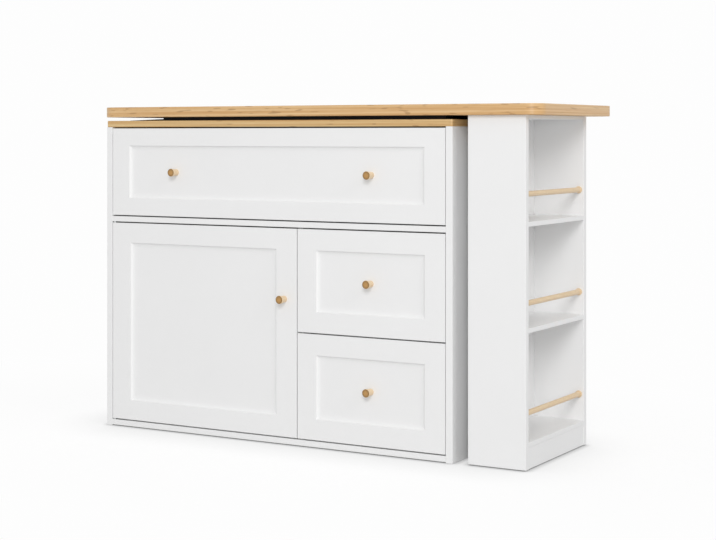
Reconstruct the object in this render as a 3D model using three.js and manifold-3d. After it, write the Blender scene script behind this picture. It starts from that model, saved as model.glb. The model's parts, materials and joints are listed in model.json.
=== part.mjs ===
// Kitchen island unit: a drawer and door cabinet with a fixed wooden top. A longer wooden top above
// it swivels on a turntable and carries an open shelf tower on two castors at its right end.
// Millimetres, +Z up. The fronts face -Y. The origin is on the floor, midway between the ends of
// the swivelling top and midway between the door knob's tip and the rear edge of that top.
import * as THREE from "three";
import { mergeVertices } from "three/addons/utils/BufferGeometryUtils.js";
import Module from "manifold-3d";

const wasm = await Module();
wasm.setup();

// ---------------------------------------------------------------- driving dimensions

// Whole unit
const islandLength = 1350;
const islandDepth = 500;
const islandHeight = 900;
const floorClearance = 2;

// Swivelling top
const topThickness = 28;
const topCornerRadius = 40;
const topEdgeRadius = 2;
const topLeftOverhang = 15;
const topFrontOverhang = 8;
const topRightOverhang = 43;
const swivelGap = 10;
const pivotFromLeft = 200;

// Fixed top
const fixedTopThickness = 18;
const fixedTopCornerRadius = 12;
const fixedTopEdgeRadius = 2;

// Cabinet boards
const cabinetDepth = 400;
const sideThickness = 19;
const boardThickness = 15;
const dividerThickness = 15;
const backThickness = 6;
const wideOpeningHeight = 251.5;
const smallOpeningWidth = 431.7;
const lowerDrawerShare = 0.5053;
const boardEase = 0.8;

// Fronts: a flat frame, a cove and a recessed field, routed in one board. The cove's stations are
// shares of its width and of the recess.
const frontThickness = 18;
const sideReveal = 2;
const levelReveal = 3.5;
const frontGap = 3;
const fieldRecess = 7;
const coveWidth = 16;
const coveStations = [[0.04, 0.21], [0.13, 0.49], [0.28, 0.73], [0.5, 0.9], [0.75, 0.98], [1, 1]];
const doorFrame = { stile: 63.5, rail: 55 };
const wideFrame = { stile: 58.5, rail: 48.4 };
const smallFrame = { stile: 57, rail: 54.7 };

// Knobs
const knobRadius = 11;
const knobSeatRadius = 9;
const knobReach = 26;
const knobEase = 1.5;
const wideKnobSpacing = 620;
const doorKnobFromEdge = 38.8;
const doorKnobHeight = 386.5;

// Drawer boxes and their slides
const boxWall = 12;
const boxLift = 14;
const wideBoxHeadroom = 52;
const smallBoxHeadroom = 60;
const drawerBottomThickness = 5;
const grooveDepth = 6;
const grooveLift = 12;
const slideWidth = 12.5;
const slideMetal = 1.2;
const channelHeight = 35;
const channelLip = 3;
const channelSetback = 2;
const runnerInset = 3;

// Door pivots, shelf and catch
const pivotPinRadius = 2.5;
const pivotPinLength = 8;
const pivotInset = 5;
const pivotCollarRadius = 3.5;
const pivotPlate = { length: 44, width: 12, thickness: 2.5 };
const shelfSetback = 20;
const doorShelfHeight = 285;
const catchSize = { length: 34, width: 15, height: 13 };
const catchFromEdge = 60;

// Turntable and glide strips between the two tops
const turntableRadius = 105;
const turntablePlate = 2.5;
const turntableHubRadius = 20;
const turntableRaceRadius = 84;
const turntableRaceWidth = 6;
const stripWidth = 30;
const stripFromTurntable = 10;
const stripLeftInset = 40;
const stripRightInset = 45;
const stripTongue = { length: 117.5, thickness: 2, step: 5 };

// Shelf tower
const towerWidth = 157;
const towerGap = 40;
const towerFrontSetback = 6;
const towerPanelThickness = 18;
const towerTopThickness = 9.5;
const towerShelfThickness = 12;
const plinthHeight = 55.3;
const plinthSetback = 1;
const middleShelfHeight = 335.5;
const upperShelfHeight = 597;
const railRadius = 7;
const railSetback = 14;
const railHoleDepth = 9;
const railAboveShelf = { lower: 69, middle: 59.5, upper: 68 };

// Castors
const wheelRadius = 20;
const wheelWidth = 16;
const wheelBossRadius = 8;
const axleRadius = 3;
const castorWall = 2.5;
const castorPlate = { length: 46, width: 34, thickness: 3 };
const castorArmWidth = 22;
const castorFromPanel = 68;

// Clearances
const runningGap = 0.3;
const seatGap = 0.3;
const grooveGap = 0.25;
const pinTipGap = 1;
const drawerBackGap = 26;
const slideBackGap = 5;
const channelGap = 2;

// ---------------------------------------------------------------- derived places

const topRight = islandLength / 2;
const topLeft = -topRight;
const topBack = (islandDepth - topFrontOverhang + knobReach) / 2;
const topFront = topBack - islandDepth;

const cabinetLeft = topLeft + topLeftOverhang;
const towerRight = topRight - topRightOverhang;
const towerLeft = towerRight - towerWidth;
const cabinetRight = towerLeft - towerGap;
const cabinetFront = topFront + topFrontOverhang;
const cabinetBack = cabinetFront + cabinetDepth;
const innerLeft = cabinetLeft + sideThickness;
const innerRight = cabinetRight - sideThickness;
const innerBack = cabinetBack - backThickness;
const dividerRight = innerRight - smallOpeningWidth;
const dividerLeft = dividerRight - dividerThickness;
const dividerCentre = (dividerLeft + dividerRight) / 2;

const swivelTopUnderside = islandHeight - topThickness;
const fixedTopSurface = swivelTopUnderside - swivelGap;
const cabinetHeight = fixedTopSurface - fixedTopThickness;
const middleBoardTop = cabinetHeight - wideOpeningHeight;
const middleBoardUnderside = middleBoardTop - boardThickness;
const cabinetFloor = floorClearance + boardThickness;

const frontBack = cabinetFront + frontThickness;
const boxLength = innerBack - drawerBackGap - frontBack;
const slideLength = boxLength - slideBackGap;
const channelDepth = slideWidth - channelGap;
const doorLeft = innerLeft + sideReveal;
const doorRight = dividerCentre - frontGap / 2;
const smallFrontLeft = dividerCentre + frontGap / 2;
const frontsRight = innerRight - sideReveal;
const lowFrontBottom = cabinetFloor + levelReveal;
const lowFrontTop = middleBoardUnderside - levelReveal;
const smallSplit = cabinetFloor + lowerDrawerShare * (middleBoardUnderside - cabinetFloor);

const pivotX = cabinetLeft + pivotFromLeft;
const pivotY = (cabinetFront + cabinetBack) / 2;
const stripFromPivot = turntableRadius + stripFromTurntable + stripWidth / 2;

const towerFront = cabinetFront + towerFrontSetback;
const towerBack = cabinetBack;
const bayFront = towerFront + towerPanelThickness;
const bayBack = towerBack - towerPanelThickness;
const bayLeft = towerLeft + boardThickness;
const plinthFace = towerRight - plinthSetback;
const plinthBack = plinthFace - boardThickness;
const towerTopUnderside = swivelTopUnderside - towerTopThickness;

// ---------------------------------------------------------------- materials

const finishes = {
  whitePaint: { color: 0xebebea, roughness: 0.5, metalness: 0 },
  innerBoard: { color: 0xf0efec, roughness: 0.6, metalness: 0 },
  oiledWood: { color: 0xdcb27c, roughness: 0.5, metalness: 0 },
  turnedWood: { color: 0xdcb88c, roughness: 0.55, metalness: 0 },
  galvanizedSteel: { color: 0xb9bcbf, roughness: 0.35, metalness: 1 },
  blackSteel: { color: 0x17171a, roughness: 0.45, metalness: 0.6 },
  blackNylon: { color: 0x141414, roughness: 0.6, metalness: 0 },
  greyRubber: { color: 0x6d6f72, roughness: 0.8, metalness: 0 },
};

// ---------------------------------------------------------------- geometry helpers

// Board sizes stand on a 1/64 mm grid, so faces that touch share one plane in 32-bit vertices.
const gridPerMm = 64;
const snap = (value) => Math.round(value * gridPerMm) / gridPerMm;

function mesh(name, finish, geometry, x = 0, y = 0, z = 0) {
  const made = new THREE.Mesh(geometry, new THREE.MeshStandardMaterial(finishes[finish]));
  made.name = name;
  made.position.set(x, y, z);
  return made;
}

function solidOf(geometry) {
  const bare = geometry.index ? geometry.toNonIndexed() : geometry.clone();
  bare.deleteAttribute("normal");
  bare.deleteAttribute("uv");
  const merged = mergeVertices(bare, 1e-3);
  return new wasm.Manifold(
    new wasm.Mesh({
      numProp: 3,
      vertProperties: merged.attributes.position.array,
      triVerts: new Uint32Array(merged.index.array),
    }),
  );
}

function geometryOf(solid) {
  const { vertProperties, triVerts } = solid.getMesh();
  const geometry = new THREE.BufferGeometry();
  geometry.setAttribute("position", new THREE.BufferAttribute(vertProperties, 3));
  geometry.setIndex(new THREE.BufferAttribute(triVerts, 1));
  return geometry;
}

const cut = (geometry, ...tools) =>
  geometryOf(tools.reduce((rest, tool) => rest.subtract(solidOf(tool)), solidOf(geometry)));

const join = (...pieces) => geometryOf(pieces.map(solidOf).reduce((all, one) => all.add(one)));

function block(low, high) {
  const size = high.map((value, axis) => value - low[axis]);
  const geometry = new THREE.BoxGeometry(...size);
  return geometry.translate(...low.map((value, axis) => value + size[axis] / 2));
}

// A revolved piece on the Z axis. The profile holds [radius, height] pairs, bottom to top.
function turned(profile, segments = 32) {
  const points = profile.map(([radius, height]) => new THREE.Vector2(radius, height));
  return new THREE.LatheGeometry(points, segments).rotateX(Math.PI / 2);
}

const closed = (profile) => [...profile, profile[0]];

const disc = (radius, low, high, segments = 32) =>
  turned([[0, low], [radius, low], [radius, high], [0, high]], segments);

// The corners of a rectangle from (insetX, insetY) inwards, rounded where a radius is given.
function rectangleRing(width, height, insetX, insetY, radius, steps) {
  const round = Math.max(radius - Math.min(insetX, insetY), 0);
  const corners = [
    [width - insetX - round, insetY + round, -Math.PI / 2],
    [width - insetX - round, height - insetY - round, 0],
    [insetX + round, height - insetY - round, Math.PI / 2],
    [insetX + round, insetY + round, Math.PI],
  ];
  const last = radius > 0 ? steps : 0;
  const ring = [];
  for (const [x, y, start] of corners) {
    for (let step = 0; step <= last; step++) {
      const angle = start + (last ? (step / last) * (Math.PI / 2) : 0);
      ring.push([x + round * Math.cos(angle), y + round * Math.sin(angle)]);
    }
  }
  return ring;
}

// A slab whose edge profile runs all round a rectangle, as a router cuts it. The profile holds
// [insetX, insetY, level] stations from the underside to the face, and both ends are flat.
function routedSlab(width, height, profile, radius = 0, steps = 10) {
  const rings = profile.map(([insetX, insetY]) =>
    rectangleRing(width, height, insetX, insetY, radius, steps),
  );
  const count = rings[0].length;
  const vertices = rings.flatMap((ring, index) => ring.flatMap(([x, y]) => [x, y, profile[index][2]]));
  const faces = [];
  for (let level = 0; level + 1 < rings.length; level++) {
    for (let corner = 0; corner < count; corner++) {
      const here = level * count + corner;
      const next = level * count + ((corner + 1) % count);
      faces.push(here, next, next + count, here, next + count, here + count);
    }
  }
  const face = (rings.length - 1) * count;
  for (let corner = 1; corner + 1 < count; corner++) {
    faces.push(0, corner + 1, corner);
    faces.push(face, face + corner, face + corner + 1);
  }
  const geometry = new THREE.BufferGeometry();
  geometry.setAttribute("position", new THREE.Float32BufferAttribute(vertices, 3));
  geometry.setIndex(faces);
  return geometry;
}

const easedProfile = (thickness, ease) => [
  [ease, ease, 0],
  [0, 0, ease],
  [0, 0, thickness - ease],
  [ease, ease, thickness],
];

// A quarter round on both edges of a top.
function roundedProfile(thickness, radius, steps = 3) {
  const quarter = [];
  for (let step = 0; step <= steps; step++) {
    const angle = (step / steps) * (Math.PI / 2);
    quarter.push([radius * (1 - Math.sin(angle)), radius * (1 - Math.cos(angle))]);
  }
  const lower = quarter.map(([inset, rise]) => [inset, inset, rise]);
  const upper = quarter.map(([inset, rise]) => [inset, inset, thickness - rise]).reverse();
  return [...lower, ...upper];
}

// Frame, cove and recessed field of a front, from its back to its field.
function frontProfile(thickness, { stile, rail }) {
  const cove = coveStations.map(([across, down]) => [
    stile + across * coveWidth,
    rail + across * coveWidth,
    thickness - down * fieldRecess,
  ]);
  return [...easedProfile(thickness, boardEase), [stile, rail, thickness], ...cove];
}

// Turns a slab drawn in XY so that its face looks up, to the front (-Y) or to the right (+X).
const facing = {
  up: new THREE.Matrix4(),
  front: new THREE.Matrix4().set(1, 0, 0, 0, 0, 0, -1, 0, 0, 1, 0, 0, 0, 0, 0, 1),
  right: new THREE.Matrix4().set(0, 0, 1, 0, 1, 0, 0, 0, 0, 1, 0, 0, 0, 0, 0, 1),
};

// A board that fills the box from low to high, square to its thinnest side.
function board(name, finish, lowCorner, highCorner, options = {}) {
  const low = lowCorner.map(snap);
  const high = highCorner.map(snap);
  const [sizeX, sizeY, sizeZ] = high.map((value, axis) => value - low[axis]);
  const thickness = Math.min(sizeX, sizeY, sizeZ);
  const direction = thickness === sizeZ ? "up" : thickness === sizeY ? "front" : "right";
  const width = direction === "right" ? sizeY : sizeX;
  const height = direction === "up" ? sizeY : sizeZ;
  const { profileAt = (depth) => easedProfile(depth, boardEase), radius, holes } = options;
  const geometry = routedSlab(width, height, profileAt(thickness), radius);
  geometry.applyMatrix4(facing[direction]);
  const originY = direction === "front" ? high[1] : low[1];
  const placed = (hole) => hole.clone().translate(-low[0], -originY, -low[2]);
  const shaped = holes ? cut(geometry, ...holes.map(placed)) : geometry;
  return mesh(name, finish, shaped, low[0], originY, low[2]);
}

// ---------------------------------------------------------------- cabinet

// The pivot pins' holes, in the frame of the unit.
const doorPivotX = doorLeft + pivotInset;
const doorPivotY = cabinetFront + pivotInset;
const pinHole = (low, high) =>
  disc(pivotPinRadius + runningGap, low, high, 24).translate(doorPivotX, doorPivotY, 0);

function carcass() {
  const sideTop = cabinetHeight;
  return [
    board(
      "left_side_panel",
      "whitePaint",
      [cabinetLeft, cabinetFront, 0],
      [innerLeft, cabinetBack, sideTop],
    ),
    board(
      "right_side_panel",
      "whitePaint",
      [innerRight, cabinetFront, 0],
      [cabinetRight, cabinetBack, sideTop],
    ),
    board(
      "bottom_board",
      "whitePaint",
      [innerLeft, cabinetFront, floorClearance],
      [innerRight, innerBack, cabinetFloor],
      { holes: [pinHole(cabinetFloor - pivotPinLength, cabinetFloor + 1)] },
    ),
    board(
      "middle_board",
      "whitePaint",
      [innerLeft, cabinetFront, middleBoardUnderside],
      [innerRight, innerBack, middleBoardTop],
      { holes: [pinHole(middleBoardUnderside - 1, middleBoardUnderside + pivotPinLength)] },
    ),
    board(
      "divider_board",
      "whitePaint",
      [dividerLeft, frontBack + seatGap, cabinetFloor],
      [dividerRight, innerBack, middleBoardUnderside],
    ),
    board(
      "back_panel",
      "whitePaint",
      [innerLeft, innerBack, floorClearance],
      [innerRight, cabinetBack, cabinetHeight],
    ),
    board(
      "door_shelf",
      "innerBoard",
      [innerLeft, frontBack + shelfSetback, doorShelfHeight],
      [dividerLeft, innerBack, doorShelfHeight + boardThickness],
    ),
    board(
      "fixed_top",
      "oiledWood",
      [cabinetLeft, cabinetFront, cabinetHeight],
      [cabinetRight, cabinetBack, fixedTopSurface],
      {
        profileAt: (thickness) => roundedProfile(thickness, fixedTopEdgeRadius),
        radius: fixedTopCornerRadius,
      },
    ),
  ];
}

// A magnetic catch under the middle board, just behind the door's free edge.
function doorCatch() {
  const right = doorRight - catchFromEdge;
  const top = middleBoardUnderside;
  return board(
    "door_catch",
    "blackNylon",
    [right - catchSize.length, frontBack + seatGap, top - catchSize.height],
    [right, frontBack + seatGap + catchSize.width, top],
  );
}

// A low-friction strip for the swivelling top. It thins to a tongue at its left end.
function glideStrip(name, centreY) {
  const length = cabinetRight - cabinetLeft - stripLeftInset - stripRightInset;
  const height = swivelGap - runningGap;
  const side = new THREE.Shape([
    new THREE.Vector2(0, 0),
    new THREE.Vector2(length, 0),
    new THREE.Vector2(length, height),
    new THREE.Vector2(stripTongue.length + stripTongue.step, height),
    new THREE.Vector2(stripTongue.length, stripTongue.thickness),
    new THREE.Vector2(0, stripTongue.thickness),
  ]);
  const geometry = new THREE.ExtrudeGeometry(side, { depth: stripWidth, bevelEnabled: false });
  geometry.applyMatrix4(facing.front);
  const y = snap(centreY + stripWidth / 2);
  return mesh(name, "blackNylon", geometry, snap(cabinetLeft + stripLeftInset), y, snap(fixedTopSurface));
}

// The lower half of the turntable: a ring with a bore for the hub and a raised race.
function turntableBase() {
  const bore = turntableHubRadius + runningGap;
  const raceTop = swivelGap - turntablePlate - runningGap;
  const geometry = turned(
    closed([
      [bore, 0],
      [turntableRadius, 0],
      [turntableRadius, turntablePlate],
      [turntableRaceRadius + turntableRaceWidth, turntablePlate],
      [turntableRaceRadius + turntableRaceWidth, raceTop],
      [turntableRaceRadius, raceTop],
      [turntableRaceRadius, turntablePlate],
      [bore, turntablePlate],
    ]),
    64,
  );
  return mesh("turntable_base", "blackSteel", geometry, pivotX, pivotY, snap(fixedTopSurface));
}

// The upper half: a plate under the swivelling top, with its hub in the bore and an outer race.
function turntableUpperPlate() {
  const hubBottom = runningGap - swivelGap;
  const raceBottom = turntablePlate + runningGap - swivelGap;
  const raceInside = turntableRaceRadius + turntableRaceWidth + runningGap;
  const raceOutside = raceInside + turntableRaceWidth;
  const geometry = turned(
    [
      [0, hubBottom],
      [turntableHubRadius, hubBottom],
      [turntableHubRadius, -turntablePlate],
      [raceInside, -turntablePlate],
      [raceInside, raceBottom],
      [raceOutside, raceBottom],
      [raceOutside, -turntablePlate],
      [turntableRadius, -turntablePlate],
      [turntableRadius, 0],
      [0, 0],
    ],
    64,
  );
  return mesh("turntable_plate", "blackSteel", geometry, pivotX, pivotY, snap(swivelTopUnderside));
}

// ---------------------------------------------------------------- fronts, knobs and slides

function front(name, face, frame, holes) {
  return board(
    name,
    "whitePaint",
    [face.left, cabinetFront, face.bottom],
    [face.right, frontBack, face.top],
    { profileAt: (thickness) => frontProfile(thickness, frame), holes },
  );
}

// A turned knob that widens from its seat to an eased rim. Its axis points to the front.
function knob(name, x, seatY, z) {
  const geometry = turned(
    [
      [0, 0],
      [knobSeatRadius, 0],
      [knobSeatRadius + 0.4, knobReach * 0.35],
      [knobRadius - 0.4, knobReach * 0.7],
      [knobRadius, knobReach - knobEase - 1],
      [knobRadius - knobEase * 0.3, knobReach - knobEase * 0.3],
      [knobRadius - knobEase, knobReach],
      [0, knobReach],
    ],
    28,
  ).rotateX(Math.PI / 2);
  return mesh(name, "turnedWood", geometry, x, seatY, z);
}

// The cabinet's half of a slide: a channel whose lips hold the runner. side is +1 where it opens
// to the right and -1 where it opens to the left.
function channel(name, wallX, z, side) {
  const half = channelHeight / 2;
  const lip = half - slideMetal - channelLip;
  const inner = half - slideMetal;
  const outline = [
    [0, -half],
    [channelDepth, -half],
    [channelDepth, -lip],
    [channelDepth - slideMetal, -lip],
    [channelDepth - slideMetal, -inner],
    [slideMetal, -inner],
    [slideMetal, inner],
    [channelDepth - slideMetal, inner],
    [channelDepth - slideMetal, lip],
    [channelDepth, lip],
    [channelDepth, half],
    [0, half],
  ];
  return slidePart(name, outline, wallX, z, side, channelSetback);
}

// The drawer's half: a narrower channel that runs between the lips.
function runner(name, wallX, z, side) {
  const half = channelHeight / 2 - slideMetal - channelLip - runningGap;
  const outline = [
    [slideWidth, -half],
    [slideWidth, half],
    [runnerInset, half],
    [runnerInset, half - slideMetal],
    [slideWidth - slideMetal, half - slideMetal],
    [slideWidth - slideMetal, slideMetal - half],
    [runnerInset, slideMetal - half],
    [runnerInset, -half],
  ];
  return slidePart(name, outline, wallX, z, side, 0);
}

function slidePart(name, outline, wallX, z, side, setback) {
  const shape = new THREE.Shape(outline.map(([x, y]) => new THREE.Vector2(snap(x) * side, snap(y))));
  const depth = snap(slideLength - setback);
  const geometry = new THREE.ExtrudeGeometry(shape, { depth, bevelEnabled: false });
  geometry.applyMatrix4(facing.front);
  const y = snap(frontBack) + snap(setback) + depth;
  return mesh(name, "galvanizedSteel", geometry, snap(wallX), y, snap(z));
}

// A drawer box is three walls in a U that closes on the back of its front, with a grooved-in
// bottom. The opening's left and right are the walls that its slides are screwed to.
function drawer(name, opening, face, headroom, frame, knobs) {
  const left = snap(opening.left) + snap(slideWidth);
  const right = snap(opening.right) - snap(slideWidth);
  const boxBottom = snap(face.bottom + boxLift);
  const boxHeight = snap(face.top - headroom) - boxBottom;
  const width = right - left;
  const walls = new THREE.Shape([
    new THREE.Vector2(0, 0),
    new THREE.Vector2(boxWall, 0),
    new THREE.Vector2(boxWall, boxLength - boxWall),
    new THREE.Vector2(width - boxWall, boxLength - boxWall),
    new THREE.Vector2(width - boxWall, 0),
    new THREE.Vector2(width, 0),
    new THREE.Vector2(width, boxLength),
    new THREE.Vector2(0, boxLength),
  ]);
  const box = new THREE.ExtrudeGeometry(walls, { depth: boxHeight, bevelEnabled: false });
  const grooveWall = boxWall - grooveDepth;
  const groove = block(
    [grooveWall, -1, grooveLift],
    [width - grooveWall, boxLength - grooveWall, grooveLift + drawerBottomThickness + 2 * grooveGap],
  );
  const slideHeight = boxBottom + boxHeight / 2;
  const bottomZ = boxBottom + grooveLift + grooveGap;
  const group = new THREE.Group();
  group.add(
    front(name + "_front", face, frame),
    mesh(name + "_box", "innerBoard", cut(box, groove), left, snap(frontBack), boxBottom),
    board(
      name + "_bottom",
      "innerBoard",
      [left + grooveWall + grooveGap, frontBack, bottomZ],
      [
        right - grooveWall - grooveGap,
        frontBack + boxLength - grooveWall - grooveGap,
        bottomZ + drawerBottomThickness,
      ],
    ),
    runner(name + "_left_runner", opening.left, slideHeight, 1),
    runner(name + "_right_runner", opening.right, slideHeight, -1),
  );
  const seat = cabinetFront + fieldRecess;
  const knobZ = (face.bottom + face.top) / 2;
  const middle = (face.left + face.right) / 2;
  for (const [knobName, offset] of knobs) {
    group.add(knob(knobName, middle + offset, seat, knobZ));
  }
  const channels = [
    channel(name + "_left_channel", opening.left, slideHeight, 1),
    channel(name + "_right_channel", opening.right, slideHeight, -1),
  ];
  return { group, channels };
}

// ---------------------------------------------------------------- door

// A pivot: a plate let into the door's edge, a collar that bears on the board, and a pin.
// up is +1 at the top of the door and -1 at its foot.
function doorPivot(name, edgeZ, up) {
  const span = (from, to) => [from * up, to * up].sort((one, other) => one - other);
  const [plateLow, plateHigh] = span(-pivotPlate.thickness, 0);
  const plate = block(
    [seatGap - pivotInset, -pivotCollarRadius, plateLow],
    [pivotPlate.length - pivotInset, pivotPlate.width - pivotCollarRadius, plateHigh],
  );
  const collar = disc(pivotCollarRadius, ...span(-1, levelReveal - runningGap), 24);
  const pin = disc(pivotPinRadius, ...span(-1, levelReveal + pivotPinLength - pinTipGap), 24);
  return mesh(name, "galvanizedSteel", join(plate, collar, pin), doorPivotX, doorPivotY, edgeZ);
}

// The pocket that a pivot's plate is let into, open at the door's end and left edge.
function pivotPocket(edgeZ, up) {
  const depth = pivotPlate.thickness + seatGap;
  const low = doorPivotY - pivotCollarRadius - seatGap;
  return block(
    [doorLeft - 1, low, edgeZ - (up > 0 ? depth : 1)],
    [
      doorLeft + pivotPlate.length + seatGap,
      low + pivotPlate.width + 2 * seatGap,
      edgeZ + (up > 0 ? 1 : depth),
    ],
  );
}

function door() {
  const group = new THREE.Group();
  const face = { left: doorLeft, right: doorRight, bottom: lowFrontBottom, top: lowFrontTop };
  const pockets = [pivotPocket(lowFrontTop, 1), pivotPocket(lowFrontBottom, -1)];
  group.add(
    front("door_panel", face, doorFrame, pockets),
    knob("door_knob", doorRight - doorKnobFromEdge, cabinetFront, doorKnobHeight),
    doorPivot("door_upper_pivot", lowFrontTop, 1),
    doorPivot("door_lower_pivot", lowFrontBottom, -1),
  );
  return group;
}

// ---------------------------------------------------------------- swivelling top and tower

function railHole(z) {
  const rail = new THREE.CylinderGeometry(
    railRadius + seatGap,
    railRadius + seatGap,
    bayBack - bayFront + 2 * railHoleDepth,
    24,
  );
  return rail.translate(towerRight - railSetback, (bayFront + bayBack) / 2, z);
}

function rail(name, z) {
  const half = (bayBack - bayFront) / 2 + railHoleDepth - seatGap;
  const ease = 1;
  const points = [
    [0, -half],
    [railRadius - ease, -half],
    [railRadius, -half + ease],
    [railRadius, half - ease],
    [railRadius - ease, half],
    [0, half],
  ].map(([radius, along]) => new THREE.Vector2(radius, along));
  const geometry = new THREE.LatheGeometry(points, 20);
  return mesh(name, "turnedWood", geometry, towerRight - railSetback, (bayFront + bayBack) / 2, z);
}

function tower() {
  const railHeights = {
    lower: plinthHeight + towerShelfThickness + railAboveShelf.lower,
    middle: middleShelfHeight + towerShelfThickness + railAboveShelf.middle,
    upper: upperShelfHeight + towerShelfThickness + railAboveShelf.upper,
  };
  const holes = Object.values(railHeights).map(railHole);
  const shelf = (name, z) =>
    board(name, "whitePaint", [bayLeft, bayFront, z], [towerRight, bayBack, z + towerShelfThickness]);
  return [
    board(
      "tower_front_panel",
      "whitePaint",
      [towerLeft, towerFront, floorClearance],
      [towerRight, bayFront, swivelTopUnderside],
      { holes },
    ),
    board(
      "tower_rear_panel",
      "whitePaint",
      [towerLeft, bayBack, floorClearance],
      [towerRight, towerBack, swivelTopUnderside],
      { holes },
    ),
    board(
      "tower_inner_panel",
      "whitePaint",
      [towerLeft, bayFront, floorClearance],
      [bayLeft, bayBack, towerTopUnderside],
    ),
    board(
      "tower_top_board",
      "whitePaint",
      [towerLeft, bayFront, towerTopUnderside],
      [towerRight, bayBack, swivelTopUnderside],
    ),
    shelf("tower_upper_shelf", upperShelfHeight),
    shelf("tower_middle_shelf", middleShelfHeight),
    shelf("tower_bottom_shelf", plinthHeight),
    board(
      "tower_plinth",
      "whitePaint",
      [plinthBack, bayFront, floorClearance],
      [plinthFace, bayBack, plinthHeight],
    ),
    rail("upper_rail", railHeights.upper),
    rail("middle_rail", railHeights.middle),
    rail("lower_rail", railHeights.lower),
  ];
}

function swivelTop() {
  return board(
    "swivel_top",
    "oiledWood",
    [topLeft, topFront, swivelTopUnderside],
    [topRight, topBack, islandHeight],
    { profileAt: (thickness) => roundedProfile(thickness, topEdgeRadius), radius: topCornerRadius },
  );
}

// A fixed castor under the tower. Its axle points at the turntable's axis, so it rolls on an arc.
function castor(name, y) {
  const plateTop = snap(plinthHeight);
  const armInside = wheelWidth / 2 + 1.5;
  const armOutside = armInside + castorWall;
  const halfArm = castorArmWidth / 2;
  const plate = block(
    [-castorPlate.width / 2, -castorPlate.length / 2, plateTop - castorPlate.thickness],
    [castorPlate.width / 2, castorPlate.length / 2, plateTop],
  );
  const armFoot = wheelRadius - axleRadius - 4;
  const arms = [-1, 1].map((side) => {
    const shape = new THREE.Shape();
    shape.moveTo(-halfArm, plateTop - castorPlate.thickness / 2);
    shape.lineTo(-halfArm / 2, armFoot);
    shape.lineTo(halfArm / 2, armFoot);
    shape.lineTo(halfArm, plateTop - castorPlate.thickness / 2);
    const arm = new THREE.ExtrudeGeometry(shape, { depth: castorWall, bevelEnabled: false });
    arm.applyMatrix4(facing.right);
    return arm.translate(side > 0 ? armInside : -armOutside, 0, 0);
  });
  const axle = disc(axleRadius, -armOutside - 1, armOutside + 1, 16)
    .rotateY(Math.PI / 2)
    .translate(0, 0, wheelRadius);
  const bracket = mesh(name + "_castor_bracket", "galvanizedSteel", join(plate, ...arms, axle));
  const bore = axleRadius + runningGap;
  const half = wheelWidth / 2;
  const tread = turned(
    closed([
      [bore, -half - 0.8],
      [wheelBossRadius, -half - 0.8],
      [wheelBossRadius, -half + 1.5],
      [wheelRadius - 6, -half + 1.5],
      [wheelRadius - 5, -half],
      [wheelRadius - 1.5, -half],
      [wheelRadius, -half + 2.5],
      [wheelRadius, half - 2.5],
      [wheelRadius - 1.5, half],
      [wheelRadius - 5, half],
      [wheelRadius - 6, half - 1.5],
      [wheelBossRadius, half - 1.5],
      [wheelBossRadius, half + 0.8],
      [bore, half + 0.8],
    ]),
    36,
  ).rotateY(Math.PI / 2);
  const wheel = mesh(name + "_castor_wheel", "greyRubber", tread, 0, 0, wheelRadius);
  const x = (bayLeft + plinthBack) / 2;
  const group = new THREE.Group();
  group.position.set(x, y, 0);
  group.rotation.z = Math.atan2(y - pivotY, x - pivotX);
  group.add(bracket, wheel);
  return group;
}

// ---------------------------------------------------------------- the unit

const island = new THREE.Group();

const wide = drawer(
  "wide_drawer",
  { left: innerLeft, right: innerRight },
  {
    left: doorLeft,
    right: frontsRight,
    bottom: middleBoardTop + levelReveal,
    top: cabinetHeight - levelReveal,
  },
  wideBoxHeadroom,
  wideFrame,
  [["wide_drawer_left_knob", -wideKnobSpacing / 2], ["wide_drawer_right_knob", wideKnobSpacing / 2]],
);
const smallOpening = { left: dividerRight, right: innerRight };
const smallFace = { left: smallFrontLeft, right: frontsRight };
const upper = drawer(
  "upper_drawer",
  smallOpening,
  { ...smallFace, bottom: smallSplit + levelReveal / 2, top: lowFrontTop },
  smallBoxHeadroom,
  smallFrame,
  [["upper_drawer_knob", 0]],
);
const lower = drawer(
  "lower_drawer",
  smallOpening,
  { ...smallFace, bottom: lowFrontBottom, top: smallSplit - levelReveal / 2 },
  smallBoxHeadroom,
  smallFrame,
  [["lower_drawer_knob", 0]],
);

const cabinet = new THREE.Group();
cabinet.add(
  ...carcass(),
  doorCatch(),
  glideStrip("front_glide_strip", pivotY - stripFromPivot),
  glideStrip("rear_glide_strip", pivotY + stripFromPivot),
  turntableBase(),
  ...wide.channels,
  ...upper.channels,
  ...lower.channels,
);

const table = new THREE.Group();
table.add(
  swivelTop(),
  turntableUpperPlate(),
  ...tower(),
  castor("front", bayFront + castorFromPanel),
  castor("rear", bayBack - castorFromPanel),
);

island.add(cabinet, wide.group, upper.group, lower.group, door(), table);

export default island;
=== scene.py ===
import json
import math
import bmesh
import bpy
from mathutils import Matrix, Vector


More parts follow.
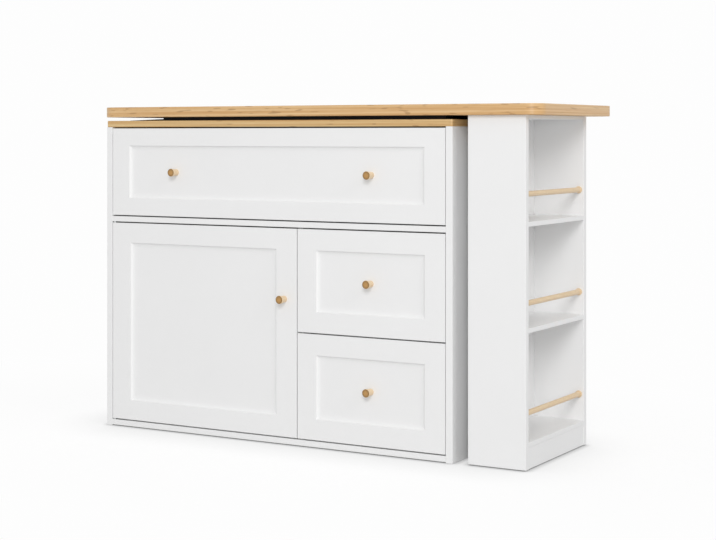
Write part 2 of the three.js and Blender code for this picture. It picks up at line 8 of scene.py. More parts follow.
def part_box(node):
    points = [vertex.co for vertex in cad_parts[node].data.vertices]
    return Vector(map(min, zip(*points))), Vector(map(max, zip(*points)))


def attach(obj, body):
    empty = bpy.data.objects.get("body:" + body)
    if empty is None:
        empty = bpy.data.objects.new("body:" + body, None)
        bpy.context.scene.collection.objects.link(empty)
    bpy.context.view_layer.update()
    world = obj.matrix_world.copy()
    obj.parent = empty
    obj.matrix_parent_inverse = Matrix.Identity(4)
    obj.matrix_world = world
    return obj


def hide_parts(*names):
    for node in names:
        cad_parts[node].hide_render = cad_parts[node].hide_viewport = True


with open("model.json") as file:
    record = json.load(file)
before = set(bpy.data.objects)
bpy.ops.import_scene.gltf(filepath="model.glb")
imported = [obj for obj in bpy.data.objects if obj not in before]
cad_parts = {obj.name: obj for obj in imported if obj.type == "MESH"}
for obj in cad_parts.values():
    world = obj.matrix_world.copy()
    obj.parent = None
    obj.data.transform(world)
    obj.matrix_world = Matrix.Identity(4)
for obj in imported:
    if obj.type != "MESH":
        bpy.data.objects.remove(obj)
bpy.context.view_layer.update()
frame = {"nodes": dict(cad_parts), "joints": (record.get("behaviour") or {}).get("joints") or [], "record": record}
bodies = frame["record"]["behaviour"]["bodies"]
mm = 0.001
hair = 0.01 * mm  # places nearer than this are one place
print("packed model loaded")


# Helpers for materials

def linear(hexColor):
    channels = [int(hexColor[i:i + 2], 16) / 255 for i in (1, 3, 5)]
    return [c / 12.92 if c <= 0.04045 else ((c + 0.055) / 1.055) ** 2.4 for c in channels] + [1.0]


def addNode(tree, kind, inputs=None, **settings):
    node = tree.nodes.new(kind)
    for key, value in settings.items():
        setattr(node, key, value)
    for key, value in (inputs or {}).items():
        if isinstance(value, bpy.types.NodeSocket):
            tree.links.new(value, node.inputs[key])
        else:
            node.inputs[key].default_value = value
    return node


def newMaterial(name):
    material = bpy.data.materials.new(name)
    material.use_nodes = True
    material.node_tree.nodes.clear()
    return material, material.node_tree


# Helpers for modelling

def deselectAll():
    bpy.ops.object.select_all(action="DESELECT")


def pick(piece):
    deselectAll()
    piece.select_set(True)
    bpy.context.view_layer.objects.active = piece


def editMode(piece):
    pick(piece)
    bpy.ops.object.mode_set(mode="EDIT")


def objectMode():
    bpy.ops.object.mode_set(mode="OBJECT")


def selectWhere(piece, kind, test):  # kind is verts, edges or faces; the piece is in edit mode
    shape = bmesh.from_edit_mesh(piece.data)
    bpy.context.tool_settings.mesh_select_mode = tuple(kind == k for k in ("verts", "edges", "faces"))
    for part in (*shape.faces, *shape.edges, *shape.verts):
        part.select_set(False)
    for part in getattr(shape, kind):
        if test(part):
            part.select_set(True)
    bmesh.update_edit_mesh(piece.data)


def applied(piece, name, kind, **settings):  # adds a modifier and applies it
    modifier = piece.modifiers.new(name, kind)
    for key, value in settings.items():
        setattr(modifier, key, value)
    bpy.context.view_layer.objects.active = piece
    bpy.ops.object.modifier_apply(modifier=modifier.name)


def smooth(piece, degrees):  # rounded edges stay smooth and flat faces stay flat
    pick(piece)
    bpy.ops.object.shade_smooth_by_angle(angle=math.radians(degrees))
    applied(piece, "flat faces", "WEIGHTED_NORMAL", keep_sharp=True)


def placeCopy(source, name, matrix):
    twin = source.copy()
    twin.data = source.data.copy()
    twin.name = name
    bpy.context.scene.collection.objects.link(twin)
    twin.data.transform(matrix)
    return twin


def mount(piece, body, nodes=()):
    if nodes:
        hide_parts(*nodes)
    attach(piece, body)


def middleAt(node, y):  # the middle of a node seen from the front, at the depth y
    low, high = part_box(node)
    return Vector(((low.x + high.x) / 2, y, (low.z + high.z) / 2))


def blockFor(node, name):  # a start that fills the node's box
    low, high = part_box(node)
    deselectAll()
    bpy.ops.mesh.primitive_cube_add(size=1, location=(low + high) / 2, scale=high - low)
    piece = bpy.context.object
    piece.name = name
    bpy.ops.object.transform_apply(location=True, rotation=True, scale=True)
    return piece


def turn(name, profile, sides):  # profile is (radius, height) pairs in mm, the piece stands on +Z
    radius, height = profile[0]
    deselectAll()
    bpy.ops.mesh.primitive_circle_add(
        vertices=sides, radius=radius * mm, fill_type="NGON", location=(0, 0, height * mm))
    piece = bpy.context.object
    piece.name = name
    bpy.ops.object.transform_apply(location=True, rotation=True, scale=True)
    editMode(piece)
    selectWhere(piece, "faces", lambda face: True)
    for nextRadius, nextHeight in profile[1:]:
        rise = (nextHeight - height) * mm
        bpy.ops.mesh.extrude_region_move(TRANSFORM_OT_translate={"value": (0, 0, rise)})
        grow = nextRadius / radius
        bpy.ops.transform.resize(value=(grow, grow, 1), center_override=(0, 0, nextHeight * mm))
        radius, height = nextRadius, nextHeight
    selectWhere(piece, "faces", lambda face: True)
    bpy.ops.mesh.normals_make_consistent(inside=False)
    objectMode()
    return piece


def spinRing(name, profile, sides):  # profile is a closed outline of (radius, height) pairs in mm
    mesh = bpy.data.meshes.new(name)
    points = [(radius * mm, 0, height * mm) for radius, height in profile]
    mesh.from_pydata(points, [(i, (i + 1) % len(points)) for i in range(len(points))], [])
    piece = bpy.data.objects.new(name, mesh)
    bpy.context.scene.collection.objects.link(piece)
    editMode(piece)
    selectWhere(piece, "edges", lambda edge: True)
    bpy.ops.mesh.spin(steps=sides, angle=math.tau, center=(0, 0, 0), axis=(0, 0, 1))
    selectWhere(piece, "verts", lambda vertex: True)
    bpy.ops.mesh.remove_doubles(threshold=hair)
    bpy.ops.mesh.normals_make_consistent(inside=False)
    objectMode()
    return piece


# Painted and melamine-faced boards

def satinLacquer():  # sprayed white lacquer on fibreboard: even, soft sheen, faint orange peel
    look = {
        "color": "#F3F3F3", "shadeColor": "#F0F0F0", "clouds": 5.0, "rough": (0.4, 0.5), "specular": 0.45,
        "peelSize": 6.0, "peelDepth": 0.05, "peelStrength": 0.3,  # 1 to 2 mm, drawn coarser so that it shows
    }
    material, tree = newMaterial("satinLacquer")
    place = addNode(tree, "ShaderNodeTexCoord").outputs["Object"]
    cloud = addNode(tree, "ShaderNodeTexNoise", {"Vector": place, "Scale": look["clouds"], "Detail": 3.0})
    tone = addNode(tree, "ShaderNodeMix", {
        "Factor": cloud.outputs["Fac"], "A": linear(look["color"]), "B": linear(look["shadeColor"]),
    }, data_type="RGBA")
    peel = addNode(tree, "ShaderNodeTexNoise", {
        "Vector": place, "Scale": 1 / (look["peelSize"] * mm), "Detail": 1.0})
    rough = addNode(tree, "ShaderNodeMapRange", {
        "Value": peel.outputs["Fac"], "To Min": look["rough"][0], "To Max": look["rough"][1]})
    bump = addNode(tree, "ShaderNodeBump", {
        "Height": peel.outputs["Fac"], "Strength": look["peelStrength"], "Distance": look["peelDepth"] * mm})
    shader = addNode(tree, "ShaderNodeBsdfPrincipled", {
        "Base Color": tone.outputs["Result"], "Roughness": rough.outputs["Result"],
        "Normal": bump.outputs["Normal"], "IOR": 1.5, "Specular IOR Level": look["specular"]})
    addNode(tree, "ShaderNodeOutputMaterial", {"Surface": shader.outputs["BSDF"]})
    return material


def melamineBoard():  # pressed white melamine: a fine pearl grain that breaks up the sheen
    look = {
        "color": "#EFEEEA", "rough": (0.5, 0.62),
        "pearlSize": 5.0, "pearlDepth": 0.05, "pearlStrength": 0.2,  # below 1 mm, coarser so that it shows
    }
    material, tree = newMaterial("melamineBoard")
    place = addNode(tree, "ShaderNodeTexCoord").outputs["Object"]
    pearl = addNode(tree, "ShaderNodeTexVoronoi", {
        "Vector": place, "Scale": 1 / (look["pearlSize"] * mm)}, feature="SMOOTH_F1")
    rough = addNode(tree, "ShaderNodeMapRange", {
        "Value": pearl.outputs["Distance"], "To Min": look["rough"][0], "To Max": look["rough"][1]})
    bump = addNode(tree, "ShaderNodeBump", {
        "Height": pearl.outputs["Distance"], "Strength": look["pearlStrength"],
        "Distance": look["pearlDepth"] * mm})
    shader = addNode(tree, "ShaderNodeBsdfPrincipled", {
        "Base Color": linear(look["color"]), "Roughness": rough.outputs["Result"],
        "Normal": bump.outputs["Normal"], "IOR": 1.5})
    addNode(tree, "ShaderNodeOutputMaterial", {"Surface": shader.outputs["BSDF"]})
    return material


# Woods

def oakVeneer():  # flat-sawn oak veneer in leaves: long arches, fine pores, satin oil
    look = {
        "light": "#E5C393", "middle": "#DCB47E", "dark": "#CDA067", "pore": "#A9793F",
        "leafWidth": 118, "leafLength": 2400, "leafJoint": 0.3, "leafOffset": 0.35,
        "leafTone": (0.94, 1.04), "leafShift": (3.7, 1.9, 2.3),
        "arches": 6.5, "archStretch": (0.62, 9.0, 9.0), "archScale": 1.1,
        "fibre": 0.9, "fibreStretch": 0.03,  # pores are 0.3 mm wide, drawn coarser so that they show
        "poreFrom": 0.52, "poreFull": 0.72, "poreShare": 0.5, "poreDepth": 0.06,
        "rough": (0.5, 0.68), "specular": 0.4,
    }
    material, tree = newMaterial("oakVeneer")
    place = addNode(tree, "ShaderNodeTexCoord").outputs["Object"]
    leaf = addNode(tree, "ShaderNodeTexBrick", {
        "Vector": place, "Color1": (0, 0, 0, 1), "Color2": (1, 1, 1, 1), "Mortar": (0.5, 0.5, 0.5, 1),
        "Scale": 1.0, "Mortar Size": look["leafJoint"] * mm, "Mortar Smooth": 0.0, "Bias": 0.0,
        "Brick Width": look["leafLength"] * mm, "Row Height": look["leafWidth"] * mm,
    }, offset=look["leafOffset"])
    shift = addNode(tree, "ShaderNodeVectorMath", {
        0: leaf.outputs["Color"], 1: look["leafShift"]}, operation="MULTIPLY")
    spot = addNode(tree, "ShaderNodeVectorMath", {0: place, 1: shift.outputs["Vector"]}, operation="ADD")
    drawn = addNode(tree, "ShaderNodeMapping", {
        "Vector": spot.outputs["Vector"], "Scale": look["archStretch"]})
    flow = addNode(tree, "ShaderNodeTexNoise", {
        "Vector": drawn.outputs["Vector"], "Scale": look["archScale"], "Detail": 2.5, "Roughness": 0.45})
    rings = addNode(tree, "ShaderNodeMath", {
        0: flow.outputs["Fac"], 1: look["arches"] * math.tau}, operation="MULTIPLY")
    wave = addNode(tree, "ShaderNodeMath", {0: rings.outputs["Value"]}, operation="SINE")
    arch = addNode(tree, "ShaderNodeMapRange", {
        "Value": wave.outputs["Value"], "From Min": -1.0, "From Max": 1.0})
    tone = addNode(tree, "ShaderNodeValToRGB", {"Fac": arch.outputs["Result"]})
    ramp = tone.color_ramp
    ramp.elements[0].color = linear(look["middle"])
    ramp.elements[1].color = linear(look["light"])
    ramp.elements.new(0.12).color = linear(look["dark"])
    ramp.elements.new(0.3).color = linear(look["middle"])
    across = 1 / (look["fibre"] * mm)
    fine = addNode(tree, "ShaderNodeMapping", {
        "Vector": spot.outputs["Vector"], "Scale": (look["fibreStretch"] * across, across, across)})
    pores = addNode(tree, "ShaderNodeTexNoise", {
        "Vector": fine.outputs["Vector"], "Scale": 1.0, "Detail": 2.0, "Roughness": 0.6})
    poreMask = addNode(tree, "ShaderNodeMapRange", {
        "Value": pores.outputs["Fac"], "From Min": look["poreFrom"], "From Max": look["poreFull"],
        "To Max": look["poreShare"]})
    base = addNode(tree, "ShaderNodeMix", {
        "Factor": poreMask.outputs["Result"], "A": tone.outputs["Color"], "B": linear(look["pore"]),
    }, data_type="RGBA")
    leafTone = addNode(tree, "ShaderNodeMapRange", {
        "Value": leaf.outputs["Color"], "To Min": look["leafTone"][0], "To Max": look["leafTone"][1]})
    toned = addNode(tree, "ShaderNodeVectorMath", {
        0: base.outputs["Result"], "Scale": leafTone.outputs["Result"]}, operation="SCALE")
    rough = addNode(tree, "ShaderNodeMapRange", {
        "Value": pores.outputs["Fac"], "To Min": look["rough"][0], "To Max": look["rough"][1]})
    bump = addNode(tree, "ShaderNodeBump", {
        "Height": pores.outputs["Fac"], "Strength": 0.25, "Distance": look["poreDepth"] * mm})
    shader = addNode(tree, "ShaderNodeBsdfPrincipled", {
        "Base Color": toned.outputs["Vector"], "Roughness": rough.outputs["Result"],
        "Normal": bump.outputs["Normal"], "IOR": 1.45, "Specular IOR Level": look["specular"]})
    addNode(tree, "ShaderNodeOutputMaterial", {"Surface": shader.outputs["BSDF"]})
    return material


def oakEdgeBand(name, hexes):  # veneer band glued round a top: straight fine grain that follows the edge
    look = {
        "streak": 5.0, "streakAlong": 1.6, "streakRange": (0.34, 0.5, 0.66),
        "fibre": 0.8, "fibreAlong": 14,  # pores are 0.3 mm wide, drawn coarser so that they show
        "poreFrom": 0.5, "poreFull": 0.75, "poreShare": 0.45, "poreDepth": 0.05,
        "fleckLength": 34, "fleckWidth": 4.5, "fleckFrom": 0.7, "fleckFull": 0.78, "fleckShare": 0.5,
        "rough": 0.34, "specular": 0.75,
    }
    material, tree = newMaterial(name)
    place = addNode(tree, "ShaderNodeTexCoord").outputs["Object"]
    slow = addNode(tree, "ShaderNodeMapping", {
        "Vector": place, "Scale": (look["streakAlong"], look["streakAlong"], 1 / (look["streak"] * mm))})
    streak = addNode(tree, "ShaderNodeTexNoise", {
        "Vector": slow.outputs["Vector"], "Scale": 1.0, "Detail": 4.0, "Roughness": 0.55})
    fine = addNode(tree, "ShaderNodeMapping", {
        "Vector": place, "Scale": (look["fibreAlong"], look["fibreAlong"], 1 / (look["fibre"] * mm))})
    fibre = addNode(tree, "ShaderNodeTexNoise", {
        "Vector": fine.outputs["Vector"], "Scale": 1.0, "Detail": 2.0, "Roughness": 0.6})
    tone = addNode(tree, "ShaderNodeValToRGB", {"Fac": streak.outputs["Fac"]})
    darkFrom, middleFrom, lightFrom = look["streakRange"]
    ramp = tone.color_ramp
    ramp.elements[0].position = darkFrom
    ramp.elements[0].color = linear(hexes["dark"])
    ramp.elements[1].position = lightFrom
    ramp.elements[1].color = linear(hexes["light"])
    ramp.elements.new(middleFrom).color = linear(hexes["middle"])
    mask = addNode(tree, "ShaderNodeMapRange", {
        "Value": fibre.outputs["Fac"], "From Min": look["poreFrom"], "From Max": look["poreFull"],
        "To Max": look["poreShare"]})
    base = addNode(tree, "ShaderNodeMix", {
        "Factor": mask.outputs["Result"], "A": tone.outputs["Color"], "B": linear(hexes["pore"]),
    }, data_type="RGBA")
    along = 1 / (look["fleckLength"] * mm)
    sparse = addNode(tree, "ShaderNodeMapping", {
        "Vector": place, "Scale": (along, along / 2, 1 / (look["fleckWidth"] * mm))})
    fleck = addNode(tree, "ShaderNodeTexNoise", {
        "Vector": sparse.outputs["Vector"], "Scale": 1.0, "Detail": 0.0})
    fleckMask = addNode(tree, "ShaderNodeMapRange", {
        "Value": fleck.outputs["Fac"], "From Min": look["fleckFrom"], "From Max": look["fleckFull"],
        "To Max": look["fleckShare"]})
    flecked = addNode(tree, "ShaderNodeMix", {
        "Factor": fleckMask.outputs["Result"], "A": base.outputs["Result"], "B": linear(hexes["fleck"]),
    }, data_type="RGBA")
    bump = addNode(tree, "ShaderNodeBump", {
        "Height": fibre.outputs["Fac"], "Strength": 0.2, "Distance": look["poreDepth"] * mm})
    shader = addNode(tree, "ShaderNodeBsdfPrincipled", {
        "Base Color": flecked.outputs["Result"], "Roughness": look["rough"],
        "Specular IOR Level": look["specular"], "Normal": bump.outputs["Normal"], "IOR": 1.45})
    addNode(tree, "ShaderNodeOutputMaterial", {"Surface": shader.outputs["BSDF"]})
    return material


def turnedBeech():  # beech turned along its grain: pale, with short dark flecks that run with the axis (Y)
    look = {
        "light": "#F0DAB8", "dark": "#DFC097", "fleck": "#C39C6A", "cloud": (260, 12, 260),
        "fleckWidth": 0.7, "fleckStretch": 0.18, "fleckFrom": 0.58, "fleckFull": 0.72, "fleckShare": 0.6,
        "rough": 0.42,
    }
    material, tree = newMaterial("turnedBeech")
    place = addNode(tree, "ShaderNodeTexCoord").outputs["Object"]
    slow = addNode(tree, "ShaderNodeMapping", {"Vector": place, "Scale": look["cloud"]})
    cloud = addNode(tree, "ShaderNodeTexNoise", {
        "Vector": slow.outputs["Vector"], "Scale": 1.0, "Detail": 3.0})
    tone = addNode(tree, "ShaderNodeMix", {
        "Factor": cloud.outputs["Fac"], "A": linear(look["light"]), "B": linear(look["dark"]),
    }, data_type="RGBA")
    across = 1 / (look["fleckWidth"] * mm)
    fine = addNode(tree, "ShaderNodeMapping", {
        "Vector": place, "Scale": (across, across * look["fleckStretch"], across)})
    fleck = addNode(tree, "ShaderNodeTexNoise", {
        "Vector": fine.outputs["Vector"], "Scale": 1.0, "Detail": 1.0})
    mask = addNode(tree, "ShaderNodeMapRange", {
        "Value": fleck.outputs["Fac"], "From Min": look["fleckFrom"], "From Max": look["fleckFull"],
        "To Max": look["fleckShare"]})
    base = addNode(tree, "ShaderNodeMix", {
        "Factor": mask.outputs["Result"], "A": tone.outputs["Result"], "B": linear(look["fleck"]),
    }, data_type="RGBA")
    shader = addNode(tree, "ShaderNodeBsdfPrincipled", {
        "Base Color": base.outputs["Result"], "Roughness": look["rough"], "IOR": 1.45})
    addNode(tree, "ShaderNodeOutputMaterial", {"Surface": shader.outputs["BSDF"]})
    return material


def beechEndGrain():  # the knob's end: open pores drink the oil, so it is darker than the side; its colour darkens further towards its rim
    look = {
        "light": "#CC9E62", "dark": "#AF854D", "rim": "#86683F", "rough": 0.6,
        "ring": 1.3, "heart": (0.012, 0.0, 0.009), "wobble": 1.6, "wobbleScale": 90.0,
        "radius": 10.5, "rimFrom": 0.35, "rimShare": 0.9,
    }
    material, tree = newMaterial("beechEndGrain")
    local = addNode(tree, "ShaderNodeAttribute", attribute_name="fromAxis").outputs["Vector"]
    warp = addNode(tree, "ShaderNodeTexNoise", {
        "Vector": local, "Scale": look["wobbleScale"], "Detail": 1.0})
    centre = addNode(tree, "ShaderNodeVectorMath", {0: local, 1: look["heart"]}, operation="ADD")
    bend = addNode(tree, "ShaderNodeVectorMath", {
        0: warp.outputs["Color"], "Scale": look["wobble"] * mm}, operation="SCALE")
    bent = addNode(tree, "ShaderNodeVectorMath", {
        0: centre.outputs["Vector"], 1: bend.outputs["Vector"]}, operation="ADD")
    away = addNode(tree, "ShaderNodeVectorMath", {0: bent.outputs["Vector"]}, operation="LENGTH")
    rings = addNode(tree, "ShaderNodeMath", {
        0: away.outputs["Value"], 1: math.tau / (look["ring"] * mm)}, operation="MULTIPLY")
    wave = addNode(tree, "ShaderNodeMath", {0: rings.outputs["Value"]}, operation="SINE")
    share = addNode(tree, "ShaderNodeMapRange", {
        "Value": wave.outputs["Value"], "From Min": -1.0, "From Max": 1.0})
    grain = addNode(tree, "ShaderNodeMix", {
        "Factor": share.outputs["Result"], "A": linear(look["light"]), "B": linear(look["dark"]),
    }, data_type="RGBA")
    flat = addNode(tree, "ShaderNodeVectorMath", {0: local, 1: (1.0, 0.0, 1.0)}, operation="MULTIPLY")
    radius = addNode(tree, "ShaderNodeVectorMath", {0: flat.outputs["Vector"]}, operation="LENGTH")
    toRim = addNode(tree, "ShaderNodeMapRange", {
        "Value": radius.outputs["Value"], "From Min": look["rimFrom"] * look["radius"] * mm,
        "From Max": look["radius"] * mm, "To Max": look["rimShare"]})
    base = addNode(tree, "ShaderNodeMix", {
        "Factor": toRim.outputs["Result"], "A": grain.outputs["Result"], "B": linear(look["rim"]),
    }, data_type="RGBA")
    shader = addNode(tree, "ShaderNodeBsdfPrincipled", {
        "Base Color": base.outputs["Result"], "Roughness": look["rough"], "IOR": 1.45})
    addNode(tree, "ShaderNodeOutputMaterial", {"Surface": shader.outputs["BSDF"]})
    return material


# Metals, plastics and rubber

def zincPlatedSteel():  # cold-rolled steel with bright zinc: silvery, drawn lines along the slides (Y)
    look = {
        "color": "#C9CBCC", "rough": (0.26, 0.44),
        "line": 0.6, "lineStretch": 0.01, "lineDepth": 0.03,  # 0.1 mm, drawn coarser so that they show
    }
    material, tree = newMaterial("zincPlatedSteel")
    place = addNode(tree, "ShaderNodeTexCoord").outputs["Object"]
    across = 1 / (look["line"] * mm)
    drawn = addNode(tree, "ShaderNodeMapping", {
        "Vector": place, "Scale": (across, across * look["lineStretch"], across)})
    lines = addNode(tree, "ShaderNodeTexNoise", {
        "Vector": drawn.outputs["Vector"], "Scale": 1.0, "Detail": 2.0})
    rough = addNode(tree, "ShaderNodeMapRange", {
        "Value": lines.outputs["Fac"], "To Min": look["rough"][0], "To Max": look["rough"][1]})
    bump = addNode(tree, "ShaderNodeBump", {
        "Height": lines.outputs["Fac"], "Strength": 0.15, "Distance": look["lineDepth"] * mm})
    shader = addNode(tree, "ShaderNodeBsdfPrincipled", {
        "Base Color": linear(look["color"]), "Metallic": 1.0, "Roughness": rough.outputs["Result"],
        "Normal": bump.outputs["Normal"]})
    addNode(tree, "ShaderNodeOutputMaterial", {"Surface": shader.outputs["BSDF"]})
    return material


def blackPowderCoat():  # powder-coated steel: near black with a fine grain
    look = {"color": "#18181A", "grain": 0.7, "grainDepth": 0.05, "rough": 0.5}
    material, tree = newMaterial("blackPowderCoat")
    place = addNode(tree, "ShaderNodeTexCoord").outputs["Object"]
    grain = addNode(tree, "ShaderNodeTexNoise", {
        "Vector": place, "Scale": 1 / (look["grain"] * mm), "Detail": 2.0})
    bump = addNode(tree, "ShaderNodeBump", {
        "Height": grain.outputs["Fac"], "Strength": 0.3, "Distance": look["grainDepth"] * mm})
    shader = addNode(tree, "ShaderNodeBsdfPrincipled", {
        "Base Color": linear(look["color"]), "Roughness": look["rough"], "Normal": bump.outputs["Normal"]})
    addNode(tree, "ShaderNodeOutputMaterial", {"Surface": shader.outputs["BSDF"]})
    return material


def mouldedNylon():  # injection-moulded black nylon: dull, with a faint spark-eroded grain; on the glide strips its black is also painted shade for the gap
    look = {
        # near black: the nylon's own colour, made darker still to paint the shade in the gap between the tops
        "color": "#0C0B0B", "rough": (0.5, 0.68),
        "grain": 0.5, "grainDepth": 0.03,  # about 0.1 mm, drawn coarser so that it shows
    }
    material, tree = newMaterial("mouldedNylon")
    place = addNode(tree, "ShaderNodeTexCoord").outputs["Object"]
    grain = addNode(tree, "ShaderNodeTexVoronoi", {"Vector": place, "Scale": 1 / (look["grain"] * mm)})
    rough = addNode(tree, "ShaderNodeMapRange", {
        "Value": grain.outputs["Distance"], "To Min": look["rough"][0], "To Max": look["rough"][1]})
    bump = addNode(tree, "ShaderNodeBump", {
        "Height": grain.outputs["Distance"], "Strength": 0.15, "Distance": look["grainDepth"] * mm})
    shader = addNode(tree, "ShaderNodeBsdfPrincipled", {
        "Base Color": linear(look["color"]), "Roughness": rough.outputs["Result"],
        "Normal": bump.outputs["Normal"], "IOR": 1.53})
    addNode(tree, "ShaderNodeOutputMaterial", {"Surface": shader.outputs["BSDF"]})
    return material


def greyTread():  # thermoplastic rubber tread: matt grey, slightly dusty on its rolling face
    look = {"color": "#77797C", "dust": "#8D8C88", "grain": 2.0, "rough": 0.78}
    material, tree = newMaterial("greyTread")
    place = addNode(tree, "ShaderNodeTexCoord").outputs["Object"]
    grain = addNode(tree, "ShaderNodeTexNoise", {
        "Vector": place, "Scale": 1 / (look["grain"] * mm), "Detail": 3.0})
    base = addNode(tree, "ShaderNodeMix", {
        "Factor": grain.outputs["Fac"], "A": linear(look["color"]), "B": linear(look["dust"]),
    }, data_type="RGBA")
    shader = addNode(tree, "ShaderNodeBsdfPrincipled", {
        "Base Color": base.outputs["Result"], "Roughness": look["rough"], "IOR": 1.5})
    addNode(tree, "ShaderNodeOutputMaterial", {"Surface": shader.outputs["BSDF"]})
    return material


lacquer = satinLacquer()
melamine = melamineBoard()
veneer = oakVeneer()
swivelBand = oakEdgeBand("oakEdgeBand", {
    "light": "#E6C391", "middle": "#DBB27C", "dark": "#CD9E65", "pore": "#B98A52", "fleck": "#94693B"})
fixedBand = oakEdgeBand("oakEdgeBandLower", {
    "light": "#E3C590", "middle": "#D8B47C", "dark": "#C99D63", "pore": "#A88046", "fleck": "#8A6236"})
beech = turnedBeech()
endGrain = beechEndGrain()
zinc = zincPlatedSteel()
powderCoat = blackPowderCoat()
nylonAndGapShade = mouldedNylon()
tread = greyTread()
print("materials made")

# Finishes of the boards and fittings that are kept as packed
slotFinish = {
    "white_paint": lacquer, "inner_board": melamine, "oiled_wood": veneer, "turned_wood": beech,
    "zinc_steel": zinc, "black_steel": powderCoat, "black_nylon": nylonAndGapShade, "grey_rubber": tread,
}
for part in frame["record"]["subparts"]:
    node = frame["nodes"][part["node"]]
    node.data.materials.clear()
    node.data.materials.append(slotFinish[part["material_slot"]])
print("packed pieces finished")


# Wooden tops

topLooks = [
    {"name": "swivelTopBoard", "node": "swivel_top", "body": "table", "band": swivelBand,
     "corner": 40, "cornerSteps": 16, "edge": 2, "edgeSteps": 3, "smooth": 40},
    {"name": "fixedTopBoard", "node": "fixed_top", "body": "cabinet", "band": fixedBand,
     "corner": 5, "cornerSteps": 6, "edge": 2, "edgeSteps": 3, "smooth": 40},
]


def makeTop(look):  # a board with rounded corners, eased edges and a band round it
    piece = blockFor(look["node"], look["name"])
    editMode(piece)
    selectWhere(piece, "edges", lambda e: abs(e.verts[0].co.z - e.verts[1].co.z) > mm)
    bpy.ops.mesh.bevel(offset=look["corner"] * mm, segments=look["cornerSteps"], affect="EDGES")
    selectWhere(piece, "edges", lambda e: abs(e.verts[0].co.z - e.verts[1].co.z) < hair)
    bpy.ops.mesh.bevel(offset=look["edge"] * mm, segments=look["edgeSteps"], affect="EDGES")
    objectMode()
    piece.data.materials.append(veneer)
    piece.data.materials.append(look["band"])
    for face in piece.data.polygons:
        face.material_index = 0 if abs(face.normal.z) > 0.9 else 1
    smooth(piece, look["smooth"])
    mount(piece, look["body"], [look["node"]])


for topLook in topLooks:
    makeTop(topLook)
print("tops made")


# Knobs

knobLook = {
    "profile": [(9, 0), (9.05, 2), (9.2, 7), (9.7, 13), (10.4, 18.5), (10.9, 22.5), (11, 24),
                (10.85, 25), (10.4, 25.75), (9.7, 26), (9.2, 25.9), (8.4, 25.5), (5.5, 25.25), (2.0, 25.15)],
    "sides": 56, "smooth": 50, "endWithin": 10.5,
}
knobs = [(body, node) for body, nodes in bodies.items() for node in nodes if node.endswith("_knob")]
toFront = Matrix.Rotation(math.radians(90), 4, "X")  # +Z of the lathe points to the front


def makeKnobs(look):
    pattern = turn("knobPattern", look["profile"], look["sides"])
    pattern.data.materials.append(beech)
    pattern.data.materials.append(endGrain)
    pattern.data.transform(toFront)
    for face in pattern.data.polygons:
        wide = Vector((face.center.x, face.center.z)).length
        atEnd = face.normal.y < -0.5 and wide < look["endWithin"] * mm
        face.material_index = 1 if atEnd else 0
    smooth(pattern, look["smooth"])
    fromAxis = pattern.data.attributes.new("fromAxis", "FLOAT_VECTOR", "POINT")
    for vertex, value in zip(pattern.data.vertices, fromAxis.data):
        value.vector = vertex.co
    for body, node in knobs:
        seat = middleAt(node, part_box(node)[1].y)
        knob = placeCopy(pattern, node + "Turned", Matrix.Translation(seat))
        mount(knob, body, [node])
    bpy.data.objects.remove(pattern)


makeKnobs(knobLook)
print("knobs turned")


# Rails of the tower's bays

railLook = {
    "ease": 1.0, "sides": 40, "smooth": 50, "collarGap": 0.1,
    "collar": [(8.9, 0), (9.3, 0.5), (9.3, 3.6), (8.8, 4.5), (7.9, 4.9)],  # radius, height over the panel
}


def makeRails(look):
    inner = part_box("tower_rear_panel")[0].y  # the collar lies on the panel's inner face
    ease = look["ease"]
    for node in ("upper_rail", "middle_rail", "lower_rail"):
        low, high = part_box(node)
        radius, length = (high.x - low.x) / 2 / mm, (high.y - low.y) / mm
        foot = (high.y - inner) / mm + look["collarGap"]
        half = [(radius - ease, 0), (radius - 0.3 * ease, 0.3 * ease), (radius, ease), (radius, foot)]
        half += [(wide, foot + rise) for wide, rise in look["collar"]]
        half.append((radius, half[-1][1]))
        rail = turn(node + "Turned", half + [(r, length - h) for r, h in reversed(half)], look["sides"])
        rail.data.materials.append(beech)
        smooth(rail, look["smooth"])
        rail.data.transform(Matrix.Translation(middleAt(node, high.y)) @ toFront)
        mount(rail, "table", [node])


makeRails(railLook)
print("rails turned")


# Castor wheels

wheelLook = {
    "sides": 64, "smooth": 35,
    "tread": [(15, -6.2), (16.5, -7.4), (18.4, -7.8), (19.6, -6.6), (20, -4.5), (20, 4.5), (19.6, 6.6),
              (18.4, 7.8), (16.5, 7.4), (15, 6.2)],
    "hub": [(3.3, -8.8), (8, -8.8), (8, -6.5), (12.8, -6), (13.2, -7.2), (15, -7.2), (15, 7.2), (13.2, 7.2),
            (12.8, 6), (8, 6.5), (8, 8.8), (3.3, 8.8)],
}


def makeWheels(look):
    treadRing = spinRing("treadPattern", look["tread"], look["sides"])
    hubRing = spinRing("hubPattern", look["hub"], look["sides"])
    treadRing.data.materials.append(tread)
    hubRing.data.materials.append(nylonAndGapShade)
    joints = {joint["child"]: joint for joint in frame["joints"]}
    for body in ("front_wheel", "rear_wheel"):
        axle = Vector(joints[body]["axis"])
        lay = Vector((0, 0, 1)).rotation_difference(axle).to_matrix().to_4x4()
        where = Matrix.Translation(Vector(joints[body]["pos_m"])) @ lay
        node = body.replace("_wheel", "_castor_wheel")
        for pattern, word, slot, nodes in (
                (treadRing, "Tread", "grey_rubber", [node]), (hubRing, "Hub", "black_nylon", [])):
            ring = placeCopy(pattern, body + word, where)
            smooth(ring, look["smooth"])
            mount(ring, body, nodes)
    bpy.data.objects.remove(treadRing)
    bpy.data.objects.remove(hubRing)


makeWheels(wheelLook)
print("castor wheels made")
